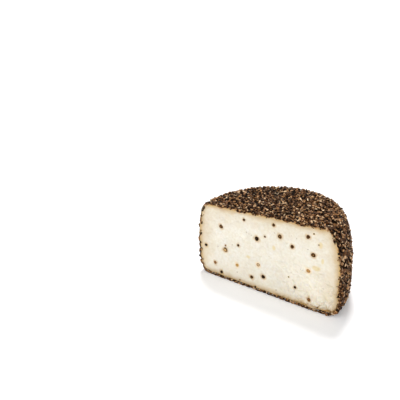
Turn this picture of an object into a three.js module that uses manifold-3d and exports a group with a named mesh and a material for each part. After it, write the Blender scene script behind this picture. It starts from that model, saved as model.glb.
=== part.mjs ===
// Half of a small wheel of cheese, cut upright and standing on its base.
// The rind wears a coat of cracked black pepper, and peppercorns lie in the paste.
// Millimetres, +Z up. The cut faces -Y, and the wheel's axis stands a little behind it.

import * as THREE from 'three';
import Module from 'manifold-3d';
import { mergeVertices } from 'three/addons/utils/BufferGeometryUtils.js';

// The wheel, measured over its pepper
const WHEEL_RADIUS = 55;
const WHEEL_HEIGHT = 57.5;
const WIDEST_HEIGHT = 20; // height of the widest place above the base
const FOOT_INSET = 16; // from the widest place in to the flat underside
const FOOT_POWER = 4.2; // how square the foot's curve is: 2 is an ellipse
const SHOULDER_INSET = 11; // from the widest place in to the flat top
const SHOULDER_POWER = 2.2;
const OVAL = -1.5; // what the radius gains or loses on the plan's diagonals
const END_RISE = 2.5; // what the top climbs over one radius towards +X
const AXIS_BEHIND_CUT = 6; // a little more than half of the wheel is kept

// The coat of cracked pepper
const CREST_SHARE = 0.38; // one relief point in about three is the crest of a grain
const CREST_DEPTH = 0.35; // crests lie up to this far under the skin
const HOLLOW_DEPTH = [0.8, 1.5]; // and the hollows between them this far
const FACET_ROWS = 24; // relief points along each edge of the twenty-sided start
const FACET_SHIFT = 0.02; // random shift of a relief point, in radii of the start
const LARGE_GRAINS = 88; // on the whole wheel, before the cut
const LARGE_GRAIN_WIDTH = 3;
const LARGE_GRAIN_SPREAD = 0.25; // the widths vary by this share
const LARGE_GRAIN_SINK = 0.35; // share of the width that a grain's middle lies under the surface
const GRAIN_FLATNESS = 0.7;

// The cut
const CRUMB_DEPTH = 0.35; // soft unevenness of the cut
const CRUMB_LENGTH = 13; // length of its waves
const CRUMB_SWAY = 1.2; // how far the rows of waves wander, in radians of a wave
const CRUMB_SWAY_RATE = 0.65; // and how often, against the waves themselves
const CUT_CELL = 4.2; // grid of the cut
const CHIP_DEPTH = 0.9; // the lower corner at +X has crumbled away this deep
const CHIP_CORNER = { x: 38, z: 14 }; // centre of the crumbled corner's curve
const CHIP_RADIUS = 10;
const CHIP_SLOPE = 2.5; // width of the ledge round the crumbled corner
const CHIP_FADE = 6; // length over which the ledge fades in

// Peppercorns in the cut: x and z of the middle, the width, and the crown.
// A crown above 0 stands out of the paste, and one below 0 is the depth of an empty socket.
const PEPPERCORNS = [
  [-47.3, 22.0, 2.2, 0.5],
  [-39.8, 10.2, 2.3, -0.6],
  [-34.5, 4.1, 2.4, 0.6],
  [-33.4, 40.0, 2.8, 0.5],
  [-30.5, 22.9, 3.1, 0.5],
  [-20.8, 14.0, 2.4, -0.6],
  [-19.5, 29.6, 1.8, 0.4],
  [-14.4, 49.8, 1.8, 0.4],
  [-9.0, 8.6, 2.4, 0.5],
  [-4.6, 38.8, 3.0, 0.8],
  [-3.6, 19.8, 2.5, -0.5],
  [0.2, 11.9, 2.8, 0.7],
  [8.0, 51.8, 2.0, 0.5],
  [12.5, 45.0, 2.7, 0.4],
  [21.4, 40.5, 2.4, 0.6],
  [24.0, 12.3, 1.9, 0.5],
  [32.0, 50.2, 2.4, 0.6],
  [32.8, 27.1, 2.6, -0.6],
  [33.9, 6.7, 2.4, -0.5],
  [35.8, 39.0, 2.8, 0.6],
];

const PEPPERCORN_SIDES = 8;
const PEPPERCORN_ROWS = 4;

const OUTLINE_STEPS = 24; // points along each stretch of the wheel's outline
const UNDER_BULGE = 2; // the underside starts this far below the base, and is trimmed flat
const BLOCK_MARGIN = 1.2; // the block that holds the kept half is this much larger than the wheel
const PASTE_COLOUR = 0xf0e6d2;
const SEED = 7;

const wasm = await Module();
wasm.setup();

// Numbers from 0 to 1 in a fixed order
function seededRandom(seed) {
  const modulus = 2 ** 32;
  let state = seed;
  return () => {
    state = (state * 1664525 + 1013904223) % modulus;
    return state / modulus;
  };
}

function smoothStep(value) {
  const t = THREE.MathUtils.clamp(value, 0, 1);
  return t * t * (3 - 2 * t);
}

// The geometry with each corner held once
function sharedCorners(geometry) {
  geometry.deleteAttribute('normal');
  geometry.deleteAttribute('uv');
  return mergeVertices(geometry);
}

// A closed geometry as a solid for joining and cutting
function toSolid(geometry) {
  const merged = sharedCorners(geometry);
  return new wasm.Manifold(new wasm.Mesh({
    numProp: 3,
    vertProperties: new Float32Array(merged.attributes.position.array),
    triVerts: new Uint32Array(merged.index.array),
  }));
}

function toGeometry(solid) {
  const mesh = solid.getMesh();
  const geometry = new THREE.BufferGeometry();
  geometry.setAttribute('position', new THREE.BufferAttribute(mesh.vertProperties, 3));
  geometry.setIndex(new THREE.BufferAttribute(mesh.triVerts, 1));
  return geometry;
}

// Outline of the wheel from the middle of the underside to the middle of the top, as radius and height
function wheelOutline() {
  const flatUnder = WHEEL_RADIUS - FOOT_INSET;
  const flatTop = WHEEL_RADIUS - SHOULDER_INSET;
  const shoulderHeight = WHEEL_HEIGHT - WIDEST_HEIGHT;
  const steps = Array.from({ length: OUTLINE_STEPS + 1 }, (_, i) => i / OUTLINE_STEPS);
  const turns = steps.map((step) => step * Math.PI / 2);
  const underside = steps.map((step) => new THREE.Vector2(flatUnder * step, UNDER_BULGE * (step - 1)));
  const foot = turns.map((turn) => new THREE.Vector2(
    flatUnder + FOOT_INSET * Math.sin(turn) ** (2 / FOOT_POWER),
    WIDEST_HEIGHT * (1 - Math.cos(turn) ** (2 / FOOT_POWER)),
  ));
  const shoulder = turns.map((turn) => new THREE.Vector2(
    flatTop + SHOULDER_INSET * Math.cos(turn) ** (2 / SHOULDER_POWER),
    WIDEST_HEIGHT + shoulderHeight * Math.sin(turn) ** (2 / SHOULDER_POWER),
  ));
  const top = steps.map((step) => new THREE.Vector2(flatTop * (1 - step), WHEEL_HEIGHT));
  return [...underside, ...foot.slice(1), ...shoulder.slice(1), ...top.slice(1)];
}

// Running total of the skin's area along the outline, from 0 under the wheel to 1 on top
function outlineShares(outline) {
  const totals = [0];
  for (let i = 1; i < outline.length; i += 1) {
    const band = outline[i].distanceTo(outline[i - 1]) * (outline[i].x + outline[i - 1].x);
    totals.push(totals[i - 1] + band);
  }
  return totals.map((total) => total / totals[totals.length - 1]);
}

const OUTLINE = wheelOutline();
const SHARES = outlineShares(OUTLINE);

// A point of the wheel's skin at an angle and a share of the way up the outline, sunk by a depth
function skinPoint(angle, share, depth) {
  const next = Math.max(1, SHARES.findIndex((total) => total >= share));
  const before = OUTLINE[next - 1];
  const along = (share - SHARES[next - 1]) / (SHARES[next] - SHARES[next - 1]);
  const place = before.clone().lerp(OUTLINE[next], along);
  const inward = OUTLINE[next].clone().sub(before).normalize().rotateAround(new THREE.Vector2(), Math.PI / 2);
  place.addScaledVector(inward, depth);
  const radius = place.x * (1 + OVAL / WHEEL_RADIUS * Math.sin(2 * angle));
  const x = radius * Math.cos(angle);
  const y = radius * Math.sin(angle) + AXIS_BEHIND_CUT;
  const rise = 1 + END_RISE / WHEEL_HEIGHT * x / WHEEL_RADIUS;
  return new THREE.Vector3(x, y, place.y * rise);
}

// A crest or a hollow of the pepper coat
function pepperDepth(random) {
  const [shallow, deep] = HOLLOW_DEPTH;
  const isCrest = random() < CREST_SHARE;
  return isCrest ? CREST_DEPTH * random() : shallow + (deep - shallow) * random();
}

// The whole wheel: a ball of even facets drawn over the outline, roughened by its pepper
function wheelSolid() {
  const random = seededRandom(SEED);
  const wheel = sharedCorners(new THREE.IcosahedronGeometry(1, FACET_ROWS));
  const positions = wheel.attributes.position;
  const footShare = SHARES[OUTLINE_STEPS];
  for (let i = 0; i < positions.count; i += 1) {
    const start = new THREE.Vector3().fromBufferAttribute(positions, i);
    const shift = new THREE.Vector3(random(), random(), random()).multiplyScalar(2).subScalar(1);
    const onBall = start.addScaledVector(shift, FACET_SHIFT).normalize();
    const share = (1 + onBall.z) / 2;
    const depth = share > footShare ? pepperDepth(random) : 0;
    const point = skinPoint(Math.atan2(onBall.y, onBall.x), share, depth);
    positions.setXYZ(i, point.x, point.y, point.z);
  }
  return toSolid(wheel);
}

// How far the cut's face lies behind the plane of the cut
function cutRelief(x, z) {
  const across = 2 * Math.PI * x / CRUMB_LENGTH;
  const up = 2 * Math.PI * z / CRUMB_LENGTH;
  const swayAcross = CRUMB_SWAY * Math.sin(CRUMB_SWAY_RATE * up);
  const swayUp = CRUMB_SWAY * Math.sin(CRUMB_SWAY_RATE * across);
  const crumb = Math.sin(across + swayAcross) * Math.sin(up + swayUp);
  const past = Math.max(0, x - CHIP_CORNER.x);
  const below = Math.max(0, CHIP_CORNER.z - z);
  const ledge = smoothStep((Math.hypot(past, below) - CHIP_RADIUS) / CHIP_SLOPE);
  const inCorner = smoothStep(past / CHIP_FADE) * smoothStep(below / CHIP_FADE);
  return CRUMB_DEPTH * (0.5 + 0.5 * crumb) + CHIP_DEPTH * ledge * inCorner;
}

// The block that holds the kept half: its face is the cut, and its bottom is the flat base
function keptBlock() {
  const width = 2 * BLOCK_MARGIN * WHEEL_RADIUS;
  const height = BLOCK_MARGIN * WHEEL_HEIGHT;
  const columns = Math.round(width / CUT_CELL);
  const rows = Math.round(height / CUT_CELL);
  const depth = width;
  const block = new THREE.BoxGeometry(width, depth, height, columns, 1, rows);
  block.translate(0, depth / 2, height / 2);
  const positions = block.attributes.position;
  for (let i = 0; i < positions.count; i += 1) {
    if (positions.getY(i) < depth / 2) {
      positions.setY(i, cutRelief(positions.getX(i), positions.getZ(i)));
    }
  }
  return toSolid(block);
}

// A cracked grain, wide along the skin and sunk into it
function largeGrain(angle, share, width, turn) {
  const grain = new THREE.IcosahedronGeometry(width / 2, 0);
  const outward = skinPoint(angle, share, -1).sub(skinPoint(angle, share, 0)).normalize();
  grain.scale(1, GRAIN_FLATNESS, GRAIN_FLATNESS);
  grain.rotateZ(turn);
  grain.applyQuaternion(new THREE.Quaternion().setFromUnitVectors(new THREE.Vector3(0, 0, 1), outward));
  const middle = skinPoint(angle, share, LARGE_GRAIN_SINK * width);
  grain.translate(middle.x, middle.y, middle.z);
  return toSolid(grain);
}

// The largest grains, spread evenly over the top and sides by the golden angle
function largeGrains() {
  const random = seededRandom(SEED + 1);
  const golden = Math.PI * (3 - Math.sqrt(5));
  const halfwayUpFoot = OUTLINE_STEPS + OUTLINE_STEPS / 2;
  const lowest = SHARES[halfwayUpFoot];
  const grains = [];
  for (let i = 0; i < LARGE_GRAINS; i += 1) {
    const share = lowest + (1 - lowest) * (i + 0.5) / LARGE_GRAINS;
    const angle = i * golden + random() - 0.5;
    const width = LARGE_GRAIN_WIDTH * (1 + LARGE_GRAIN_SPREAD * (2 * random() - 1));
    const turn = Math.PI * random();
    if (skinPoint(angle, share, 0).y > width) {
      grains.push(largeGrain(angle, share, width, turn));
    }
  }
  return grains;
}

// A peppercorn or its socket: a round body half sunk in the face of the cut
function peppercornSolid([x, z, width, crown]) {
  const corn = new THREE.SphereGeometry(1, PEPPERCORN_SIDES, PEPPERCORN_ROWS);
  corn.rotateX(Math.PI / 2);
  corn.scale(width / 2, Math.abs(crown), width / 2);
  corn.translate(x, cutRelief(x, z), z);
  return toSolid(corn);
}

function cheeseSolid() {
  let cheese = wheelSolid().intersect(keptBlock());
  for (const grain of largeGrains()) {
    cheese = cheese.add(grain);
  }
  for (const peppercorn of PEPPERCORNS) {
    const corn = peppercornSolid(peppercorn);
    const isSocket = peppercorn[3] < 0;
    cheese = isSocket ? cheese.subtract(corn) : cheese.add(corn);
  }
  return cheese;
}

// Centred over the middle of its base
function standOnOrigin(geometry) {
  geometry.computeBoundingBox();
  const middle = geometry.boundingBox.getCenter(new THREE.Vector3());
  geometry.translate(-middle.x, -middle.y, -geometry.boundingBox.min.z);
  return geometry;
}

function cheeseHalf() {
  const geometry = standOnOrigin(toGeometry(cheeseSolid()));
  const material = new THREE.MeshStandardMaterial({ color: PASTE_COLOUR, roughness: 0.6, metalness: 0 });
  const mesh = new THREE.Mesh(geometry, material);
  mesh.name = 'cheese_half';
  return mesh;
}

const cheese = new THREE.Group();
cheese.add(cheeseHalf());

export default cheese;
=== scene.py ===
"""Half of a small wheel of cheese in a coat of cracked black pepper, cut to show its paste and peppercorns.

The wheel's own coordinates are in millimetres: X along the cut, Y back from its plane, Z up from the base.
Every piece is made in them and moved into the frame at the end.
"""

import math

import bmesh
import bpy
import numpy as np
from mathutils import Matrix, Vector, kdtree


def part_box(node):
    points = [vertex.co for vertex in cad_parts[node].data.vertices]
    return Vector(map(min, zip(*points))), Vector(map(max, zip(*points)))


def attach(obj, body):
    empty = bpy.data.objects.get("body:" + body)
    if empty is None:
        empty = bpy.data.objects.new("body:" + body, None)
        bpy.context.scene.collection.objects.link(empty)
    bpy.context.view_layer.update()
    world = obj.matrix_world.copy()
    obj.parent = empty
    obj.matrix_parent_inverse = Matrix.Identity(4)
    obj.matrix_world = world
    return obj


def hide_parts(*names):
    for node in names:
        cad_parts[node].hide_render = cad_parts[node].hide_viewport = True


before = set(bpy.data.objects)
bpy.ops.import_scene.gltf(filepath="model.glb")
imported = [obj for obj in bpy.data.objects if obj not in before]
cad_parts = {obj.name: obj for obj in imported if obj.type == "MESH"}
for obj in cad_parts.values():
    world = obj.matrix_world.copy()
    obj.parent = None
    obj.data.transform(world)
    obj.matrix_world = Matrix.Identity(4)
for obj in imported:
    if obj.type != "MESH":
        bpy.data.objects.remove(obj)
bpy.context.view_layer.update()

MM = 0.001
NODE = "cheese_half"

# The wheel, measured over its pepper
WHEEL_RADIUS = 55.0
WHEEL_HEIGHT = 57.5
WIDEST_HEIGHT = 20.0
FOOT_INSET = 16.0
FOOT_POWER = 4.2
SHOULDER_INSET = 11.0
SHOULDER_POWER = 2.2
OVAL = -1.5
END_RISE = 2.5
AXIS_BEHIND_CUT = 6.0
OUTLINE_STEPS = 240

# The back of the CAD node is the wheel's far side, which gives the place of the cut in the frame
CUT_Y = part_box(NODE)[1].y / MM - (WHEEL_RADIUS + AXIS_BEHIND_CUT)

# How deep the paste lies under the skin over the pepper, at the cut: low down, high on the sides and on top
COAT_LOW = 1.8
COAT_HIGH = 1.15
COAT_TOP = 0.6
COAT_TURNS_AT = 27.0
COAT_TURN = 8.0
# The side's coat begins where the skin faces outward enough, from FACING_FROM / FACING_RATE on
FACING_RATE = 2.5
FACING_FROM = 1.2
# At the upper left corner the coat is thin
CORNER_COAT = 0.35
CORNER_FROM = 46.0
CORNER_FADE = 6.0
CORNER_ENDS = 0.98
CORNER_BARE_X = 10.0
CORNER_GRAINS = 0.6
# Behind the cut the crust sinks further, so that the gaps between the grains are deep
CRUST_SINK = 0.8
PASTE_SINK = 1.3
SINK_WITHIN = 1.3
CRUST_THICKNESS = 0.3
CRUST_ROUGHNESS = 0.15

# Where the knife cut the grains off, from the face of the paste: most a little behind it, some in front of it
KNIFE_FLUSH = 0.06
KNIFE_SLACK = 0.25
KNIFE_PROUD = -0.45
PROUD_SHARE = 0.4
TOP_OVERHANG = -0.45
TOP_RAGGED = 1.8
TOP_BARE = 9.0
TOP_BARE_FADE = 6.0
TOP_FORWARD = 0.3
SIDE_OVERHANG = 0.3
SIDE_RAGGED = 1.2
LEFT_OVERHANG = 0.55
BOTTOM_FORWARD = 0.35
KNIFE_AT_TOP = -0.75
KNIFE_TOP_BAND = 3.0
KNIFE_TOP_FADE = 1.5
KNIFE_AT_BOTTOM = -0.8
KNIFE_BOTTOM_BAND = 1.8

# How near to the cut a grain's middle may lie: by the sides, along the top and at the upper left corner
MARGIN_SIDE = 0.0
MARGIN_TOP = -0.4
MARGIN_TOP_BAND = 4.0
MARGIN_CORNER = 0.3
MARGIN_JITTER = 0.35

# The cut, as in the CAD node
CRUMB_DEPTH = 0.35
CRUMB_LENGTH = 13.0
CRUMB_SWAY = 1.2
CRUMB_SWAY_RATE = 0.65
CHIP_DEPTH = 0.9
CHIP_X = 38.0
CHIP_Z = 14.0
CHIP_RADIUS = 10.0
CHIP_SLOPE = 2.5
CHIP_FADE = 6.0

# Peppercorns in the cut: x, z, width, crown (below 0 a socket), kind
CORNS = [
    (-47.3, 22.0, 2.2, 0.5, "black"),
    (-39.8, 10.2, 2.3, -0.6, "brown"),
    (-34.5, 4.1, 2.4, 0.6, "black"),
    (-33.4, 40.0, 2.8, 0.5, "split"),
    (-30.5, 22.9, 3.1, 0.5, "ring"),
    (-20.8, 14.0, 2.4, -0.6, "amber"),
    (-19.5, 29.6, 1.8, 0.4, "dark"),
    (-14.4, 49.8, 1.8, 0.4, "dark"),
    (-9.0, 8.6, 2.4, 0.5, "dark"),
    (-4.6, 38.8, 3.0, 0.8, "black"),
    (-3.6, 19.8, 2.5, -0.5, "tan"),
    (0.2, 11.9, 2.8, 0.7, "black"),
    (8.0, 51.8, 2.0, 0.5, "dark"),
    (12.5, 45.0, 2.7, 0.4, "split"),
    (21.4, 40.5, 2.4, 0.6, "dark"),
    (24.0, 12.3, 1.9, 0.5, "black"),
    (32.0, 50.2, 2.4, 0.6, "dark"),
    (32.8, 27.1, 2.6, -0.6, "orange"),
    (33.9, 6.7, 2.4, -0.5, "brown"),
    (35.8, 39.0, 2.8, 0.6, "split"),
    (1.5, 41.9, 1.3, 0.2, "dark"),
    (35.7, 53.2, 1.1, 0.2, "olive"),
    (39.2, 46.9, 0.8, 0.2, "dark"),
    (-30.2, 26.4, 1.2, 0.3, "brown"),
    (19.2, 18.2, 1.1, 0.2, "olive"),
    (-18.7, 3.1, 1.0, 0.2, "brown"),
    (-6.2, 1.8, 1.5, 0.4, "black"),
]

# Faint yellow patches of fat in the paste: x, z, half width, half height
BLOTCHES = [
    (38.1, 30.6, 2.6, 1.7),
    (-11.5, 23.3, 1.6, 1.0),
    (8.2, 35.7, 1.2, 1.6),
    (40.5, 47.0, 1.2, 2.2),
    (42.0, 36.5, 0.9, 1.8),
]

SEED = 11
WHITE = (1.0, 1.0, 1.0, 1.0)


def srgb(red, green, blue):
    """A colour given in the usual 0 to 255 values, as the linear values that a shader takes."""
    values = np.array([red, green, blue]) / 255.0
    linear = np.where(values <= 0.04045, values / 12.92, ((values + 0.055) / 1.055) ** 2.4)
    return (*linear.tolist(), 1.0)


# ---- Numbers and noise ----


def smooth_step(value):
    t = np.clip(value, 0.0, 1.0)
    return t * t * (3.0 - 2.0 * t)


def noise(points, size, seed):
    """A smooth random field from -1 to 1, with lumps of about the given size in millimetres."""
    side = 32
    table = np.random.default_rng(seed).uniform(-1.0, 1.0, (side, side, side))
    scaled = np.asarray(points) / size + 1000.0
    cell = np.floor(scaled).astype(int)
    part = smooth_step(scaled - cell)
    total = np.zeros(len(scaled))
    for corner in np.ndindex(2, 2, 2):
        index = (cell + corner) % side
        weight = np.prod(np.where(corner, part, 1.0 - part), axis=1)
        total += weight * table[index[:, 0], index[:, 1], index[:, 2]]
    return total


def patches(points, middle):
    """Uneven patches from 0 to 1 about a middle value."""
    return np.clip(middle + 0.9 * noise(points, 2.2, 7), 0.0, 1.0)


# ---- The wheel's skin ----


def wheel_outline():
    """Radius and height of the skin from the middle of the underside to the middle of the top."""
    flat_under = WHEEL_RADIUS - FOOT_INSET
    flat_top = WHEEL_RADIUS - SHOULDER_INSET
    shoulder_height = WHEEL_HEIGHT - WIDEST_HEIGHT
    step = np.linspace(0.0, 1.0, OUTLINE_STEPS)
    turn = step * math.pi / 2
    foot_out = np.sin(turn) ** (2 / FOOT_POWER)
    foot_up = 1.0 - np.clip(np.cos(turn), 0.0, 1.0) ** (2 / FOOT_POWER)
    shoulder_out = np.clip(np.cos(turn), 0.0, 1.0) ** (2 / SHOULDER_POWER)
    shoulder_up = np.sin(turn) ** (2 / SHOULDER_POWER)
    stretches = [
        (flat_under * step, 0.0 * step),
        (flat_under + FOOT_INSET * foot_out, WIDEST_HEIGHT * foot_up),
        (flat_top + SHOULDER_INSET * shoulder_out, WIDEST_HEIGHT + shoulder_height * shoulder_up),
        (flat_top * (1.0 - step), WHEEL_HEIGHT + 0.0 * step),
    ]
    points = [np.stack(stretch, axis=1)[(1 if i else 0):] for i, stretch in enumerate(stretches)]
    return np.concatenate(points)


OUTLINE = wheel_outline()
_runs = np.diff(OUTLINE, axis=0)
_lengths = np.linalg.norm(_runs, axis=1)
_areas = _lengths * (OUTLINE[1:, 0] + OUTLINE[:-1, 0])
SHARES = np.concatenate([[0.0], np.cumsum(_areas)]) / _areas.sum()
_middles = (SHARES[1:] + SHARES[:-1]) / 2
_normals = np.stack([_runs[:, 1], -_runs[:, 0]], axis=1) / _lengths[:, None]
SKIN_AREA = math.pi * _areas.sum()
FOOT_SHARE = SHARES[OUTLINE_STEPS - 1]
TOP_SHARE = SHARES[3 * (OUTLINE_STEPS - 1)]
ANGLE_ROUNDS = 8


def outline_place(share, depth):
    """Radius, height and outward normal at a share of the skin, sunk by a depth."""
    out = np.interp(share, _middles, _normals[:, 0])
    up = np.interp(share, _middles, _normals[:, 1])
    size = np.hypot(out, up)
    radius = np.interp(share, SHARES, OUTLINE[:, 0]) - depth * out / size
    height = np.interp(share, SHARES, OUTLINE[:, 1]) - depth * up / size
    return radius, height, out / size, up / size


def oval(radius, angle):
    """The skin's radius at an angle, as the wheel isn't quite round."""
    return radius * (1.0 + OVAL / WHEEL_RADIUS * np.sin(2.0 * angle))


def end_rise(x):
    """How much higher than at its middle the wheel stands at a place along the cut, as a factor."""
    return 1.0 + END_RISE / WHEEL_HEIGHT * x / WHEEL_RADIUS


def skin(angle, share, depth):
    """Points of the skin, sunk by a depth, and their outward normals."""
    radius, height, out, up = outline_place(share, depth)
    radius = oval(radius, angle)
    x = radius * np.cos(angle)
    y = radius * np.sin(angle) + AXIS_BEHIND_CUT
    z = height * end_rise(x)
    points = np.stack(np.broadcast_arrays(x, y, z), axis=-1)
    normals = np.stack(np.broadcast_arrays(out * np.cos(angle), out * np.sin(angle), up), axis=-1)
    return points, normals


def cut_angle(share, depth, is_right):
    """Angle at which the skin meets the plane of the cut, at either end."""
    radius = outline_place(share, depth)[0]
    angle = np.zeros_like(radius) if is_right else np.full_like(radius, math.pi)
    for _ in range(ANGLE_ROUNDS):
        lean = np.arcsin(AXIS_BEHIND_CUT / oval(radius, angle))
        angle = -lean if is_right else math.pi + lean
    return angle


def coat_depth(share, leftness):
    """How deep the paste lies under the skin, from the right end of the cut, 0, to the left end, 1."""
    out = np.interp(share, _middles, _normals[:, 0])
    height = np.interp(share, SHARES, OUTLINE[:, 1])
    high = smooth_step((height - COAT_TURNS_AT) / COAT_TURN + 0.5)
    side = COAT_TOP + (COAT_HIGH - COAT_TOP) * smooth_step(out * FACING_RATE - FACING_FROM)
    at_end = smooth_step((np.asarray(leftness) - CORNER_ENDS) / (1.0 - CORNER_ENDS))
    in_corner = smooth_step((height - CORNER_FROM) / CORNER_FADE) * at_end
    side = side + (CORNER_COAT - side) * in_corner * smooth_step(out * FACING_RATE)
    return COAT_LOW + (side - COAT_LOW) * high


def cut_relief(x, z):
    """How far the face of the cut lies behind its plane, as in the CAD node."""
    across = 2.0 * math.pi * x / CRUMB_LENGTH
    up = 2.0 * math.pi * z / CRUMB_LENGTH
    sway_across = CRUMB_SWAY * np.sin(CRUMB_SWAY_RATE * up)
    sway_up = CRUMB_SWAY * np.sin(CRUMB_SWAY_RATE * across)
    crumb = np.sin(across + sway_across) * np.sin(up + sway_up)
    past = np.maximum(0.0, x - CHIP_X)
    below = np.maximum(0.0, CHIP_Z - z)
    ledge = smooth_step((np.hypot(past, below) - CHIP_RADIUS) / CHIP_SLOPE)
    in_corner = smooth_step(past / CHIP_FADE) * smooth_step(below / CHIP_FADE)
    return CRUMB_DEPTH * (0.5 + 0.5 * crumb) + CHIP_DEPTH * ledge * in_corner


# ---- Grids over the kept half ----


BAND_STEPS = 4000
RADIUS_WEIGHT = 0.4
FLAT_ROWS = 22
LEVEL_RATE = 4.0


def band_shares(rows):
    """Rows up the side from one flat's edge to the other's, spaced by height and, less so, by radius."""
    share = np.linspace(FOOT_SHARE, TOP_SHARE, BAND_STEPS)
    radius, height, _, _ = outline_place(share, 0.0)
    steps = np.abs(np.diff(height)) + RADIUS_WEIGHT * np.abs(np.diff(radius))
    measure = np.concatenate([[0.0], np.cumsum(steps)])
    return np.interp(np.linspace(0.0, measure[-1], rows + 1), measure, share)


def skin_grid(columns, rows, raised, sink):
    """The paste's skin, raised by a height, as one grid: from the cut's bottom edge, under, up and over."""
    shares = band_shares(rows)
    right = cut_angle(shares, coat_depth(shares, 0.0) - raised, True)
    left = cut_angle(shares, coat_depth(shares, 1.0) - raised, False)
    across = np.linspace(0.0, 1.0, columns + 1)[:, None]
    angles = right[None, :] + (left - right)[None, :] * across
    behind = math.pi * WHEEL_RADIUS * np.minimum(across, 1.0 - across)
    depth = coat_depth(shares[None, :], across) - raised + sink * smooth_step(behind / SINK_WITHIN)
    band, _ = skin(angles, shares[None, :], depth)
    # The rows of both flats lie closer together near the cut, where the skin sinks
    step = np.linspace(0.0, 1.0, FLAT_ROWS + 1)[None, :, None]
    outward, inward = step**2, 1.0 - (1.0 - step) ** 2
    ends = band[:, [0, -1]].copy()
    straight = ends[:1] + (ends[-1:] - ends[:1]) * across[:, :, None]
    under = straight[:, :1] + (band[:, :1] - straight[:, :1]) * outward
    over = band[:, -1:] + (straight[:, 1:] - band[:, -1:]) * inward
    flat_height = straight[:, 1:, 2] - sink * smooth_step(over[:, :, 1] / SINK_WITHIN)
    over[:, :, 2] += (flat_height - over[:, :, 2]) * smooth_step(LEVEL_RATE * inward[:, :, 0])
    return np.concatenate([under[:, :-1], band, over[:, 1:]], axis=1)


def face_grid(columns, rows, right_depth, left_depth):
    """The face of the cut as a grid whose ends lie at a depth under the skin, given row by row."""
    shares = band_shares(rows)
    right, _ = skin(cut_angle(shares, right_depth, True), shares, right_depth)
    left, _ = skin(cut_angle(shares, left_depth, False), shares, left_depth)
    across = np.linspace(0.0, 1.0, columns + 1)[:, None, None]
    return right[None] + (left - right)[None] * across


def grid_faces(columns, rows, start=0):
    """Quads of a grid of (columns + 1) by (rows + 1) points."""
    first = (np.arange(columns)[:, None] * (rows + 1) + np.arange(rows)[None, :]).ravel() + start
    return np.stack([first, first + 1, first + rows + 2, first + rows + 1], axis=1)


def paste_face(columns, rows):
    """The face of the paste, which shares the edges of the skin grid."""
    shares = band_shares(rows)
    return face_grid(columns, rows, coat_depth(shares, 0.0), coat_depth(shares, 1.0))


def join_grids(grids):
    """Several grids as one list of points and quads."""
    points, faces, start = [], [], 0
    for grid in grids:
        columns, rows = grid.shape[0] - 1, grid.shape[1] - 1
        points.append(grid.reshape(-1, 3))
        faces.append(grid_faces(columns, rows, start))
        start += len(points[-1])
    return np.concatenate(points), np.concatenate(faces)


def grid_edges(grid):
    """The four edges of a grid."""
    return grid[:, 0], grid[:, -1], grid[0], grid[-1]


def flat_tree(places):
    """A search tree over places in the plane of the cut."""
    tree = kdtree.KDTree(len(places))
    for i, (across, up) in enumerate(places):
        tree.insert((across, 0.0, up), i)
    tree.balance()
    return tree


# ---- Blender objects ----


def to_frame(points):
    """From the wheel's millimetres to the frame's metres."""
    return (np.asarray(points) + [0.0, CUT_Y, 0.0]) * MM


def from_frame(mesh):
    """The mesh's points in the wheel's millimetres."""
    flat = np.empty(3 * len(mesh.vertices))
    mesh.vertices.foreach_get("co", flat)
    return flat.reshape(-1, 3) / MM - [0.0, CUT_Y, 0.0]


def set_points(mesh, points):
    mesh.vertices.foreach_set("co", to_frame(points).ravel())
    mesh.update()


def add_value(mesh, name, values):
    """One number to each point, which a material reads by its name."""
    layer = mesh.attributes.new(name, "FLOAT", "POINT")
    layer.data.foreach_set("value", np.asarray(values, np.float32))


def make_mesh(name, points, faces):
    mesh = bpy.data.meshes.new(name)
    mesh.from_pydata(to_frame(points).tolist(), [], np.asarray(faces).tolist())
    return mesh


def weld(mesh, refine=None):
    """Joins coincident points, turns every face outward and may refine the faces that a test picks."""
    work = bmesh.new()
    work.from_mesh(mesh)
    bmesh.ops.remove_doubles(work, verts=work.verts, dist=0.002 * MM)
    bmesh.ops.dissolve_degenerate(work, edges=work.edges, dist=0.002 * MM)
    bmesh.ops.recalc_face_normals(work, faces=work.faces)
    if refine:
        test, cuts = refine
        edges = {edge for face in work.faces if test(face) for edge in face.edges}
        bmesh.ops.subdivide_edges(work, edges=list(edges), cuts=cuts, use_grid_fill=True)
    work.to_mesh(mesh)
    work.free()


def add_object(name, data):
    thing = bpy.data.objects.new(name, data)
    bpy.context.scene.collection.objects.link(thing)
    return thing


def add_piece(mesh, material):
    """Links a mesh as a smooth piece that rides on the cheese and stands for its CAD node."""
    mesh.materials.append(material)
    mesh.polygons.foreach_set("use_smooth", np.full(len(mesh.polygons), True))
    piece = add_object(mesh.name, mesh)
    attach(piece, "root")
    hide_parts(NODE)


# ---- Materials ----


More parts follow.
